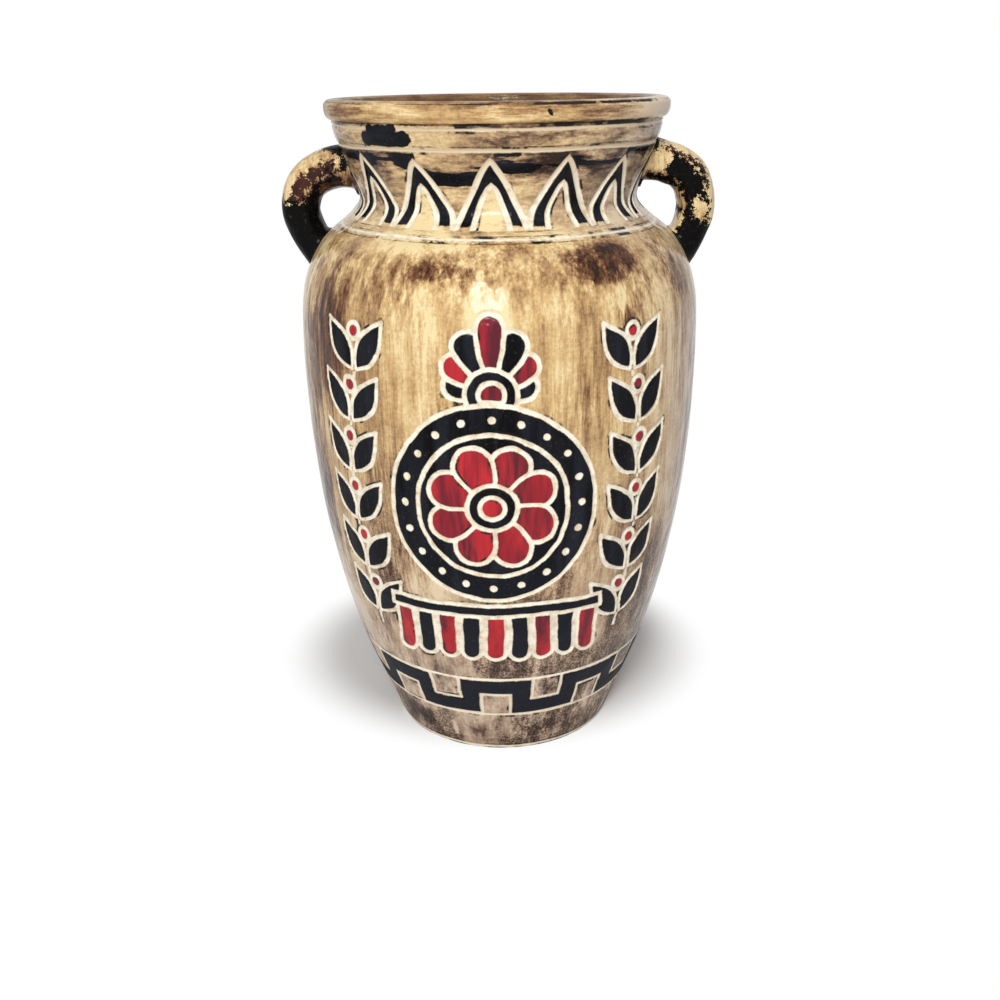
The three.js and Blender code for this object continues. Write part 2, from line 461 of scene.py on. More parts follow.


# Stains of dark wash, and one painted highlight: angle in degrees, height in millimetres, half width, half
# height, strength
STAINS = (
    (31, 237, 19, 13, 1.3),
    (-19, 235, 19, 8, 0.68),
    (6, 237, 30, 7, 0.16),
    (60, 227, 14, 24, 0.6),
    (40, 205, 14, 30, 0.4),
    (35, 213, 5, 14, 0.55),
    (33, 197, 2.5, 8, 0.6),
    (-60, 195, 20, 52, 0.7),
    (-49, 208, 13, 40, 0.5),
    (-30, 244, 32, 6, -0.24),
    (30, 246, 30, 4, -0.2),
    # Painted highlight: this one thins the wash on the front of the shoulder, where the front lamp's
    # reflection lies.
    (-3, 218, 12, 15, -0.26),
    (52, 100, 8, 50, 0.5),
    (38, 78, 6, 24, 0.4),
    (-68, 125, 18, 62, 1.0),
    (0, 296, 34, 9, 0.25),
    (-58, 297, 24, 9, 0.2),
    (66, 297, 40, 12, -0.44),
    (4, 288, 26, 5, -0.08),
    (12, 47, 16, 7, -0.2),
    (-46, 14, 22, 12, 1.2),
    (-23.6, 12, 2, 10, -0.7),
    (-12, 13, 7, 9, 0.85),
    (3, 13, 6, 9, 0.1),
    (28, 13, 19, 9, 0.5),
    (76, 14, 16, 12, 0.6),
    (96, 205, 12, 40, 0.5),
    (122, 232, 18, 12, 0.8),
    (168, 235, 24, 13, 0.85),
    (-128, 230, 20, 14, 0.7),
    (-160, 180, 12, 60, 0.5),
    (138, 130, 13, 70, 0.45),
    (-100, 120, 12, 80, 0.4),
    (-112, 40, 20, 24, 0.6),
    (170, 30, 26, 20, 0.6),
)


def wall_drawing(angle, height):
    """Everything cut and glazed on the wall, on a grid of angles and heights."""
    sizes = bpy.context.scene.vase_sizes
    art = Drawing(np.broadcast(angle, height).shape)
    around = angle * BODY_ARC
    if height.max() > FOOT_SEAM and height.min() < SHOULDER_SEAM:
        front_panel(art, angle, height, sizes.line_width / MM)
    if height.min() < FOOT_SEAM + 3:
        key_band(art, angle, height, sizes.line_width / MM, sizes.key_units)
    if height.max() > SHOULDER_SEAM:
        neck_arches(art, angle, height, sizes.neck_line_width / MM, sizes.neck_arches)
    wander = 0.3 * ripple(around, height * 0, 60, 51)
    thinning = 0.5 * ripple(around, height * 0, 37, 52)
    for level, width in ((FOOT_SEAM, 1.5), (SHOULDER_SEAM, 0.9), (NECK_TOP_LINE, 1.5), (LIP_SEAM - 1.9, 1.1)):
        art.cut(height - level - wander, width + thinning)
    if height.max() > SHOULDER_SEAM:
        neck_spills(art, angle, height)
    art.hairline(height - SHOULDER_SEAM - 1.2 - wander, 0.3)
    art.hairline(height - SHOULDER_SEAM + 1.3 - wander, 0.35)
    art.hairline(height - NECK_TOP_LINE - 1.5 - wander, 0.5)
    # Painted shadow: a dark line under the lip roll, and painted shade of the mouth along the lip's top, both
    # heavier towards the right.
    shade_toward_right = smooth_step((np.degrees(angle) + 25) / 40) * smooth_step((75 - np.degrees(angle)) / 20)
    art.hairline(height - LIP_SEAM + 0.2, 0.7 + 1.3 * shade_toward_right)
    art.hairline(height - VASE_TOP + 1.1, 0.2 + 0.9 * shade_toward_right)
    notch = leaf(around, height, (23, 297.2), 2.4, 4.4, 1.0)
    art.fill("black", np.where(height > LIP_SEAM, notch, -FAR))
    for turn, level, wide, tall, strength in STAINS:
        art.smear(np.degrees(angle), height, (turn, level), (wide, tall), strength)
    return art


# Meshes

def put_mesh(name, places, faces, fields, sharp_rows=(), columns=1):
    """A finished object from arrays: places in millimetres, four-cornered faces, and fields on the points."""
    mesh = bpy.data.meshes.new(name)
    mesh.vertices.add(len(places))
    mesh.vertices.foreach_set("co", (places * MM).astype(np.float32).ravel())
    mesh.loops.add(faces.size)
    mesh.loops.foreach_set("vertex_index", faces.astype(np.int32).ravel())
    mesh.polygons.add(len(faces))
    mesh.polygons.foreach_set("loop_start", np.arange(0, faces.size, 4, dtype=np.int32))
    mesh.polygons.foreach_set("use_smooth", np.ones(len(faces), bool))
    for field, values in fields.items():
        attribute = mesh.attributes.new(field, "FLOAT", "POINT")
        attribute.data.foreach_set("value", values.astype(np.float32).ravel())
    mesh.update(calc_edges=True)
    if len(sharp_rows):
        ends = np.zeros(len(mesh.edges) * 2, np.int32)
        mesh.edges.foreach_get("vertices", ends)
        rows = ends.reshape(-1, 2) // columns
        along_row = (rows[:, 0] == rows[:, 1]) & np.isin(rows[:, 0], sharp_rows)
        sharp = mesh.attributes.new("sharp_edge", "BOOLEAN", "EDGE")
        sharp.data.foreach_set("value", along_row)
    piece = bpy.data.objects.new(name, mesh)
    bpy.context.scene.collection.objects.link(piece)
    return piece


def ring_faces(rows, columns):
    """Faces of a grid that closes on itself both ways, like a ring cake."""
    row = np.arange(rows)[:, None]
    column = np.arange(columns)[None, :]
    up, side = (row + 1) % rows, (column + 1) % columns
    corners = (row * columns + column, row * columns + side, up * columns + side, up * columns + column)
    return np.stack(np.broadcast_arrays(*corners), axis=-1).reshape(-1, 4)


def angles_round(front_step, back_step):
    """Angles round the wall: fine across the front, coarse behind, in millimetres of arc at the belly."""
    front, side = math.radians(62), math.radians(105)
    middle = spaced(-front, front, front_step / BODY_ARC)
    flank = spaced(front, side, 1.6 * front_step / BODY_ARC)[1:]
    back = spaced(side, 2 * math.pi - side, back_step / BODY_ARC)[1:-1]
    return np.concatenate([middle, flank, back, (2 * math.pi - flank)[::-1]])


def turned(outline, angles):
    """The radius and height of an outline's points carried round to every angle, one row for each point."""
    radius = np.repeat(outline[:, :1], len(angles), axis=1)
    height = np.repeat(outline[:, 1:], len(angles), axis=1)
    return radius, height


def round_the_axis(radius, angle, height):
    """Places from radius, angle and height. An angle of 0 is at the front, and it grows to the right."""
    return np.stack([radius * np.sin(angle), -radius * np.cos(angle), height], axis=-1).reshape(-1, 3)


def wall_fields(angle, height, radius):
    """The carved radius and the glaze's fields on the outer face of the wall."""
    sizes = bpy.context.scene.vase_sizes
    near = np.where(angle > math.pi, angle - 2 * math.pi, angle)
    art = wall_drawing(near, height)
    groove = smooth_step((art.line + 0.3) / 1.1) * sizes.line_depth / MM
    # Dark lines are cut into the clay as well: the scratches, and the painted shadows at the lip.
    scratch_and_shade = smooth_step((art.ink + 0.3) / 0.6) * 0.35
    paint = 0.12 * (smooth_step(art.black / 1.2) + smooth_step(art.red / 1.2))
    x, y = radius * np.sin(near), -radius * np.cos(near)
    uneven = 0.14 * (ripple(x, height, 46, 61) + ripple(y, height, 46, 62))
    uneven = uneven + 0.04 * ripple(x + y, height, 11, 63)
    carved = np.minimum(radius - SKIN_INSET - groove - scratch_and_shade + paint + uneven, radius - SKIN_LIMIT)
    fields = {"line": art.line, "black": art.black, "red": art.red, "ink": art.ink, "stain": art.stain}
    return carved, fields


def section(name, outside, inside, angles, lining_share=0):
    """A closed ring of wall. Its outline's outer points are carved and glazed, and the others stay bare.

    Lining share is how far each outer point already takes the lining's darker colour, from 0 to 1.
    """
    outline = np.concatenate([outside, inside])
    radius, height = turned(outline, angles)
    angle = np.broadcast_to(angles, radius.shape)
    count = len(outside)
    carved, fields = wall_fields(angle[:count], height[:count], radius[:count])
    radius = np.concatenate([carved, radius[count:]])
    bare = np.full(radius[count:].shape, -FAR)
    fields = {field: np.concatenate([values, bare]) for field, values in fields.items()}
    fields["stain"][count:] = 0
    lining_share = np.zeros(carved.shape) + np.reshape(lining_share, (-1, 1))
    fields["inside"] = np.concatenate([lining_share, np.ones(bare.shape)])
    places = round_the_axis(radius, angle, height)
    sharp = [0, count - 1, count, count + 1, len(outline) - 2, len(outline) - 1]
    return put_mesh(name, places, ring_faces(*radius.shape), fields, sharp, len(angles))


def skin_outline(low, high, step):
    """The outer face's outline from its foot up: radius and height."""
    heights = spaced(low, high, step)
    return np.stack([outer_radius(heights), heights], axis=-1)


def lining_outline(low, high):
    """The inner face's outline from its top down: radius and height."""
    heights = spaced(low, high, 6)[::-1]
    return np.stack([inner_radius(heights), heights], axis=-1)


def wall_section(name, low, high, row_step, angles):
    """A section of wall between two seams, with a tongue on its top and a seat for the tongue below."""
    outside = skin_outline(low, high, row_step)
    lining = lining_outline(low + TONGUE_HEIGHT + SLIP_GAP, high + TONGUE_HEIGHT)
    top, bottom = tongue_radius(high), tongue_radius(low) + SLIP_GAP
    head = [(top, high), (top, high + TONGUE_HEIGHT)]
    seat = [(bottom, low + TONGUE_HEIGHT + SLIP_GAP), (bottom, low + SLIP_GAP / 2)]
    return section(name, outside, np.concatenate([head, lining, seat]), angles)


def foot_section(row_step, angles):
    """The lowest section of the wall, which stands on the floor slab."""
    outside = skin_outline(FLOOR_TOP, FOOT_SEAM, row_step)
    lining = lining_outline(FLOOR_TOP + SLIP_GAP, FOOT_SEAM + TONGUE_HEIGHT)
    top = tongue_radius(FOOT_SEAM)
    head = [(top, FOOT_SEAM), (top, FOOT_SEAM + TONGUE_HEIGHT)]
    return section("foot_wall_glazed", outside, np.concatenate([head, lining]), angles)


def lip_section(angles):
    """The rolled lip: a squarish roll from its underside, over the crest and down to its inner side."""
    turns = spaced(-math.pi / 3, math.pi, 0.07)
    across = signed_power(np.cos(turns), LIP_ROUNDNESS)
    up = signed_power(np.sin(turns), LIP_ROUNDNESS)
    heights = VASE_TOP - LIP_RISE + up * np.where(up > 0, LIP_RISE, LIP_DROP)
    roll = np.stack([LIP_RADIUS + LIP_HALF_WIDTH * across, heights], axis=-1)
    foot, step = LIP_SEAM + SLIP_GAP / 2, LIP_SEAM + TONGUE_HEIGHT + SLIP_GAP
    neck = [(outer_radius(LIP_SEAM) - SKIN_INSET, foot), (roll[0, 0] - 0.4, foot)]
    seat = tongue_radius(LIP_SEAM) + SLIP_GAP
    inside = [(inner_radius(step), step), (seat, step), (seat, foot)]
    # The inner side of the roll darkens towards the lining's colour.
    lining_share = np.concatenate([[0, 0], 0.75 * smooth_step((turns - 1.7) / 0.8)])
    return section("lip_ring_glazed", np.concatenate([neck, roll]), np.array(inside), angles, lining_share)


def floor_piece(angles):
    """The floor slab: an outline from the hollow underneath, over the edge to the plate, turned round.

    The outline begins and ends a hundredth of a millimetre from the axis.
    """
    centre, plate = 0.01, inner_radius(FLOOR_TOP) - SLIP_GAP
    plate_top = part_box("floor_disc")[1].z / MM
    turns = spaced(-math.pi / 2, 0, 0.3)
    edge_middle = outer_radius(FLOOR_EDGE) - FLOOR_EDGE
    edge_radius = edge_middle + FLOOR_EDGE * np.cos(turns)
    edge = np.stack([edge_radius, FLOOR_EDGE + FLOOR_EDGE * np.sin(turns)], axis=-1)
    side = skin_outline(FLOOR_EDGE, FLOOR_TOP, 0.4)[1:]
    hollow = [(reach, HOLLOW_DEPTH) for reach in (centre, 18, HOLLOW_RADIUS - HOLLOW_DEPTH)]
    over = [(plate, FLOOR_TOP), (plate, plate_top), (20, plate_top), (centre, plate_top)]
    outline = np.concatenate([hollow, [(HOLLOW_RADIUS, 0)], edge, side, over])
    radius, height = turned(outline, angles)
    outer = (outline[:, 0] > edge_middle)[:, None] & np.ones_like(radius, bool)
    around = np.broadcast_to(angles * FLOOR_ARC, radius.shape)
    radius = np.where(outer, radius - SKIN_INSET + 0.15 * ripple(around, height, 30, 71), radius)
    empty = np.full(radius.shape, -FAR)
    fields = {"black": empty, "red": empty, "stain": np.full(radius.shape, 0.25)}
    # Painted shadow: below its top the slab's edge is dark, a contact shadow with the floor. Above it are a
    # cream line and a dark scratched line.
    cream_top, scratch_level, contact_shadow_top = 2.3, 2.9, 1.1
    fields["line"] = np.where(outer, cream_top - height, -FAR)
    inked_and_shaded = np.maximum(0.3 - np.abs(height - scratch_level), contact_shadow_top - height)
    fields["ink"] = np.where(outer, inked_and_shaded, -FAR)
    fields["inside"] = np.where(outer, 0.0, 1.0)
    places = round_the_axis(radius, angles, height)
    sharp = [3, 4, len(outline) - 5, len(outline) - 4, len(outline) - 3]
    return put_mesh("floor_disc_clay", places, ring_faces(*radius.shape), fields, sharp, len(angles))


def beside(path, tangent, reach):
    """Points off a centre line and square to it: their distance from the axis, and their height."""
    return path[:, :1] - tangent[:, 1:] * reach, path[:, 1:] + tangent[:, :1] * reach


def flared(path, tangent, reach, wide, out, aside):
    """A handle's section widened near the wall by r - sqrt(r^2 - (r - gap)^2), for a fillet of radius r."""
    x, z = beside(path, tangent, reach)
    gap = np.clip(np.hypot(x, wide) - outer_radius(z), 0, HANDLE_FILLET)
    fillet = HANDLE_FILLET - np.sqrt(HANDLE_FILLET ** 2 - (HANDLE_FILLET - gap) ** 2)
    return reach - fillet * smooth_step(0.1 - out), wide + 0.3 * fillet * aside


def steps_outside(places, rows):
    """For each line along a handle, evenly spaced steps from its first to its last point outside the wall."""
    x, wide, z = np.moveaxis(places, -1, 0)
    outside = np.hypot(x, wide) > outer_radius(z) - SKIN_INSET
    first = np.argmax(outside, axis=0)
    last = len(places) - 1 - np.argmax(outside[::-1], axis=0)
    return first[None, :] + np.linspace(0, 1, rows)[:, None] * (last - first)[None, :]


def handle_piece(word, side):
    """A handle: a squarish oval carried along the centre line, flared at its two roots and ended on the wall.

    Each line along the handle is followed from one root to the other. Only the stretch outside the wall is
    kept, so both ends lie on the wall's surface. A cap closes each end.
    """
    fine_steps, sides, rings = 500, 112, 130
    along = np.linspace(0, 1, fine_steps)
    path = centre_line(HANDLE_PATHS[word], along)
    tangent = np.gradient(path, axis=0)
    tangent /= np.hypot(*tangent.T)[:, None]
    length = np.concatenate([[0], np.cumsum(np.hypot(*np.diff(path, axis=0).T))])
    turns = np.linspace(0, 2 * math.pi, sides, endpoint=False)
    at_neck, at_shoulder = HANDLE_HALF_THICKNESS
    thickness = at_neck + (at_shoulder - at_neck) * along
    out = signed_power(np.cos(turns), HANDLE_ROUNDNESS)
    aside = signed_power(np.sin(turns), HANDLE_ROUNDNESS)
    lumps = 1 + 0.028 * ripple(length[:, None], turns[None, :] * HANDLE_ARC, 11, 81 + side)
    reach = (thickness - HANDLE_INSET)[:, None] * out * lumps
    wide = (HANDLE_HALF_WIDTH - HANDLE_INSET) * aside * lumps
    reach, wide = flared(path, tangent, reach, wide, out, aside)
    x, z = beside(path, tangent, reach)
    places = np.stack([x, wide, z], axis=-1)
    index = steps_outside(places, rings)
    low = np.floor(index).astype(int)
    high = np.minimum(low + 1, fine_steps - 1)
    columns = np.arange(sides)[None, :]
    share = (index - low)[..., None]
    grid = places[low, columns] * (1 - share) + places[high, columns] * share
    run = length[low] / length[-1]
    grid = np.concatenate([end_cap(grid[0]), grid, end_cap(grid[-1])[::-1]])
    run = np.concatenate([np.repeat(run[:1], 3, axis=0), run, np.repeat(run[-1:], 3, axis=0)])
    grid = grid * np.array([side, side, 1])
    glaze = left_handle_glaze if side < 0 else right_handle_glaze
    black, maroon, stain = glaze(run, np.cos(turns)[None, :], length[-1], turns[None, :])
    empty, nowhere = np.full(run.shape, -FAR), np.zeros(run.shape)
    fields = {"line": empty, "black": black, "red": maroon, "ink": empty, "inside": nowhere}
    fields["stain"] = np.broadcast_to(stain, run.shape)
    return put_mesh(f"{word}_handle_glazed", grid.reshape(-1, 3), tube_faces(*run.shape), fields)


def centre_line(path, t):
    """A handle's centre line: a Catmull-Rom curve through its points, evenly spaced in its parameter."""
    points = np.array(path, float)
    before = 2 * points[0] - points[1]
    after = 2 * points[-1] - points[-2]
    padded = np.vstack([before, points, after])
    scaled = t * (len(points) - 1)
    i = np.minimum(scaled.astype(int), len(points) - 2)
    u = (scaled - i)[:, None]
    a, b, c, d = (padded[i + k] for k in range(4))
    square, cube = 2 * a - 5 * b + 4 * c - d, 3 * b - a - 3 * c + d
    return 0.5 * (2 * b + (c - a) * u + square * u ** 2 + cube * u ** 3)


def end_cap(ring):
    """Three rings that close an end: the end's own ring drawn in towards its middle."""
    middle = ring.mean(axis=0)
    return np.stack([middle + (ring - middle) * share for share in (0.02, 0.4, 0.8)])


def tube_faces(rows, columns):
    """Faces of a grid that closes on itself round the tube but not along it."""
    row = np.arange(rows - 1)[:, None]
    column = np.arange(columns)[None, :]
    up, side = row + 1, (column + 1) % columns
    corners = (row * columns + column, up * columns + column, up * columns + side, row * columns + side)
    return np.stack(np.broadcast_arrays(*corners), axis=-1).reshape(-1, 4)


# The handles' glaze: each patch is a distance in millimetres inside it

def handle_wobble(share, length, turns, seed):
    """Unevenness of a handle's glaze, in millimetres, along the handle and round it."""
    run, girth = share * length, turns * HANDLE_ARC
    return 1.5 * ripple(run, girth, 14, seed) + 0.9 * ripple(run, girth, 6, seed + 1)


def left_handle_glaze(share, out, length, turns):
    """Pale on top, a maroon band down the middle of the face, black on the inner edge and the lower half, and
    painted shade towards the wall.

    Share runs from 0 at the neck to 1 at the shoulder. Out runs from -1 on the inner face to 1 on the outer
    one.
    """
    wobble = handle_wobble(share, length, turns, 91)
    lower = (share - 0.54) * length
    inner_from = 0.32 * smooth_step((share - 0.15) / 0.25)
    inner_edge = np.minimum(HANDLE_ARC * (-out - inner_from), (share - 0.2) * length)
    underside = np.minimum(HANDLE_ARC * (-out - 0.6), (0.38 - share) * length)
    inner_edge = np.minimum(inner_edge, -underside)
    root = (0.175 + 0.09 * smooth_step((out - 0.4) / 0.5) - share) * length
    root = np.minimum(root, HANDLE_ARC * (out + 0.05))
    black = np.maximum(np.maximum(lower, inner_edge), root) + wobble
    band = 2.6 - np.abs(HANDLE_ARC * (out - 0.02 - 0.6 * (share - 0.32)))
    maroon = np.minimum(np.minimum(band, (share - 0.22) * length), (0.56 - share) * length) + wobble
    maroon = maroon - 2.5 * np.maximum(ripple(share * length, turns * HANDLE_ARC, 5, 97), 0)
    # Painted shade: the wash darkens towards the side that faces the wall.
    return black, maroon, -0.15 + 0.85 * smooth_step((0.1 - out) / 0.6)


def right_handle_glaze(share, out, length, turns):
    """A black root, a pale outer edge that fades out at two thirds, a black face and a tan inner edge."""
    wobble = handle_wobble(share, length, turns, 95)
    root = np.minimum((0.2 - share) * length, HANDLE_ARC * (out - 0.3))
    face = np.minimum(5.2 - np.abs(HANDLE_ARC * (out + 0.14)), (share - 0.27) * length)
    lower = np.minimum((share - 0.66) * length, HANDLE_ARC * (out + 0.35))
    under = np.minimum(2 - np.abs(HANDLE_ARC * (out + 0.75)), (0.42 - share) * length)
    inner_edge = np.minimum(HANDLE_ARC * (-out - 0.7), 2.5 - np.abs(share - 0.62) * length)
    black = np.maximum(np.maximum(root, face), np.maximum(lower, under))
    black = np.maximum(black, inner_edge) + wobble
    bare_spot = 3 - np.hypot(0.7 * (share - 0.6) * length, HANDLE_ARC * (out - 0.02))
    black = np.minimum(black, -bare_spot - 0.5 * wobble)
    maroon = np.minimum(1.4 - np.abs(HANDLE_ARC * (out - 0.55)), (0.5 - share) * length) + wobble
    shade = 0.5 * smooth_step((-out - 0.2) / 0.4) * smooth_step((0.68 - share) / 0.1)
    return black, maroon, -0.3 + shade + 0.4 * smooth_step((share - 0.5) / 0.3) * (np.abs(out) < 0.6)


# Glazes

# How the brush went: a share under 1 draws a stroke out along that axis
UPRIGHT = (1, 1, 0.09)
TURNED = (0.12, 0.12, 1)
ACROSS = (0.3, 0.3, 1)


class Glaze:
    """A material's node tree, with one short call for each kind of node."""

    def __init__(self, name, grain):
        self.material = bpy.data.materials.new(name)
        self.material.use_nodes = True
        self.nodes = self.material.node_tree.nodes
        self.links = self.material.node_tree.links
        self.shader = self.nodes["Principled BSDF"]
        self.place = self.nodes.new("ShaderNodeTexCoord").outputs["Object"]
        axes = self.nodes.new("ShaderNodeSeparateXYZ")
        self.links.new(self.place, axes.inputs[0])
        self.across, self.back, self.height = axes.outputs
        self.grain = grain

    def feed(self, socket, source):
        """Joins a socket to another node's output, or sets it to a plain value."""
        if isinstance(source, bpy.types.NodeSocket):
            self.links.new(source, socket)
        else:
            socket.default_value = source

    def field(self, name):
        """One of the mesh's fields, such as the distance inside the black glaze."""
        node = self.nodes.new("ShaderNodeAttribute")
        node.attribute_name = name
        return node.outputs["Fac"]

    def math(self, operation, *values):
        """A sum, product or other operation on one to three values."""
        node = self.nodes.new("ShaderNodeMath")
        node.operation = operation
        for socket, value in zip(node.inputs, values):
            self.feed(socket, value)
        return node.outputs[0]

    def noise(self, per_metre, detail=4, roughness=0.55, stretch=(1, 1, 1)):
        """Noise with so many features to the metre. A stretch under 1 draws them out along that axis."""
        mapping = self.nodes.new("ShaderNodeMapping")
        mapping.inputs["Scale"].default_value = stretch
        self.links.new(self.place, mapping.inputs["Vector"])
        node = self.nodes.new("ShaderNodeTexNoise")
        node.inputs["Scale"].default_value = per_metre
        node.inputs["Detail"].default_value = detail
        node.inputs["Roughness"].default_value = roughness
        self.links.new(mapping.outputs[0], node.inputs["Vector"])
        return node.outputs["Fac"]

    def strokes(self, per_metre, detail=4, roughness=0.55, length=1.0):
        """Noise drawn out along the glaze's brush strokes."""
        stretch = tuple(1 if part == 1 else part / length for part in self.grain)
        return self.noise(per_metre, detail, roughness, stretch)

    def sum(self, start, *terms):
        """A start value plus each noise's distance from its middle times its weight."""
        for value, weight in terms:
            start = self.math("MULTIPLY_ADD", self.math("SUBTRACT", value, 0.5), weight, start)
        return start

    def between(self, value, low, high, to_low=0.0, to_high=1.0):
        """The value's place between low and high, held to that range."""
        node = self.nodes.new("ShaderNodeMapRange")
        for socket, number in zip(node.inputs, (value, low, high, to_low, to_high)):
            self.feed(socket, number)
        return node.outputs[0]

    def mix(self, share, first, second):
        """The first colour where the share is 0, and the second where it is 1."""
        node = self.nodes.new("ShaderNodeMix")
        node.data_type = "RGBA"
        self.feed(node.inputs[0], share)
        self.feed(node.inputs[6], first)
        self.feed(node.inputs[7], second)
        return node.outputs[2]

    def ramp(self, value, stops):
        """A colour from a value, between stops of a place and a colour."""
        node = self.nodes.new("ShaderNodeValToRGB")
        self.links.new(value, node.inputs[0])
        bands = node.color_ramp.elements
        while len(bands) < len(stops):
            bands.new(0.5)
        for band, (place, colour) in zip(bands, stops):
            band.position = place
            band.color = colour
        return node.outputs[0]

    def bump(self, socket, height, distance):
        """Roughens the base or the clear coat by a height of 0 to 1 times a distance."""
        node = self.nodes.new("ShaderNodeBump")
        node.inputs["Distance"].default_value = distance
        self.links.new(height, node.inputs["Height"])
        self.links.new(node.outputs[0], self.shader.inputs[socket])

    def over(self, field, ragged, soft):
        """A mask that is 1 inside a field of distances, with a ragged edge and a soft step in millimetres."""
        return self.between(self.math("ADD", field, ragged), -soft, soft)


def flank_grey_and_shade(glaze):
    """How grey the wash is towards the sides of the vase: partly grey wash, and partly painted shade of the
    sides that turn away from the light. It is less so at the shoulder.
    """
    off_flank = glaze.math("MULTIPLY_ADD", glaze.across, -0.3, glaze.math("ABSOLUTE", glaze.back))
    flank = glaze.between(off_flank, 0.066, 0.01, 0, 0.8)
    off_shoulder = glaze.math("ABSOLUTE", glaze.math("SUBTRACT", glaze.height, 0.23))
    return glaze.math("MULTIPLY", flank, glaze.between(off_shoulder, 0.012, 0.022, 0.4, 1.0))


def wash_tone(glaze, low, thickness):
    """How dark the wash is, mostly 0 to 1: its thickness, clouds, strokes, stains, and bars at the foot. The
    stains also carry a painted highlight on the shoulder and painted shade on the handles.
    """
    stain = glaze.field("stain")
    blotch = glaze.sum(stain, (glaze.noise(110, 4, 0.6), 0.7), (glaze.strokes(170, 4, 0.6), 0.6))
    blotch = glaze.math("SUBTRACT", glaze.between(blotch, 0.42, 0.56), low)
    strength = glaze.between(glaze.noise(24, 2, 0.5), 0.38, 0.6, 0.6, 1.5)
    strength = glaze.math("ADD", strength, glaze.math("MAXIMUM", stain, 0.0))
    brushed = glaze.sum(0.0, (glaze.strokes(190, 3, 0.55), 0.9), (glaze.strokes(700, 4, 0.7), 0.75))
    clouds = glaze.sum(0.0, (glaze.strokes(45, 2, 0.5, 0.7), 0.8), (glaze.noise(60, 5, 0.6), 0.5))
    calm = glaze.between(glaze.height, 0.018, 0.026, 0.35, 1.0)
    tone = glaze.math("MULTIPLY_ADD", clouds, calm, thickness)
    tone = glaze.sum(tone, (glaze.noise(700, 4, 0.75), 0.5), (glaze.noise(700, 2, 0.5, (0.12, 0.12, 1)), 0.1))
    tone = glaze.math("MULTIPLY_ADD", brushed, strength, tone)
    tone = glaze.math("MULTIPLY_ADD", stain, 0.42, tone)
    tone = glaze.math("MULTIPLY_ADD", glaze.math("MINIMUM", stain, 0.0), 0.6, tone)
    tone = glaze.math("MULTIPLY_ADD", glaze.math("MAXIMUM", blotch, 0.0), 0.2, tone)
    foot = glaze.between(glaze.height, 0.034, 0.02)
    bars = glaze.math("MULTIPLY_ADD", foot, 0.09, glaze.noise(42, 2, 0.5, (1, 1, 0.15)))
    bars = glaze.math("MULTIPLY", glaze.between(bars, 0.51, 0.55), low)
    dots = glaze.between(glaze.noise(1100, 3, 0.65), 0.42, 0.6, 0.04, 0.4)
    tone = glaze.math("MULTIPLY_ADD", bars, dots, tone)
    return tone


def wash_colour(glaze, colours, thickness):
    """The brushed wash: golden above, and grey-brown at the foot and on the flanks. The grey on the flanks is
    partly painted shade.
    """
    low = glaze.between(glaze.height, 0.18, 0.05)
    tone = wash_tone(glaze, low, thickness)
    golden = glaze.ramp(tone, (
        (0.05, colours["cream_wash"]), (0.28, colours["golden_wash"]), (0.5, colours["tan_wash"]),
        (0.7, colours["brown_wash"]), (1.0, colours["dark_wash"]),
    ))
    grey = glaze.ramp(tone, (
        (0.05, colours["grey_pale"]), (0.34, colours["grey_wash"]), (0.6, colours["grey_brown"]),
        (0.9, colours["grey_dark"]),
    ))
    # Grey at the foot is the wash's own colour; grey on the flanks is partly painted shade.
    grey_and_flank_shade = glaze.math("MAXIMUM", glaze.math("MULTIPLY", low, 0.75), flank_grey_and_shade(glaze))
    return glaze.mix(grey_and_flank_shade, golden, grey)


def black_colour(glaze, colours, depth, specks):
    """Black glaze, thinner in streaks, with specks where the wash shows. Towards the foot it turns grey-blue:
    a painted reflection of the bright floor.
    """
    # Painted reflection: the black lightens towards the foot, as if it mirrored the floor.
    low = glaze.between(glaze.height, 0.14, 0.05, 0, 0.8)
    thin = glaze.math("MAXIMUM", glaze.between(depth, 0.4, 0.75), low)
    black = glaze.mix(thin, colours["black"], colours["thin_black_and_reflection"])
    bare = glaze.between(glaze.noise(750, 4, 0.65), 0.6, 0.68, 0, specks)
    return glaze.mix(bare, black, colours["tan_wash"])


def red_colour(glaze, colours, depth):
    """Red glaze, deeper where it is thick, with dark streaks."""
    red = glaze.mix(glaze.between(depth, 0.35, 0.65), colours["red"], colours["red_deep"])
    streaks = glaze.between(glaze.strokes(105, 6, 0.62), 0.46, 0.62)
    return glaze.mix(streaks, red, colours["red_stain"])


def cream_colour(glaze, colours):
    """Bare clay in the lines, where wash has run in at spots and a little at the foot. The lines darken
    towards the lip.
    """
    spots = glaze.between(glaze.noise(260, 5, 0.6), 0.45, 0.75)
    under_lip = glaze.between(glaze.height, 0.262, 0.28, 0, 0.8)
    near_foot = glaze.between(glaze.height, 0.055, 0.04, 0, 0.3)
    stained = glaze.math("MAXIMUM", spots, glaze.math("MAXIMUM", under_lip, near_foot))
    return glaze.mix(stained, colours["cream"], colours["cream_stain"])


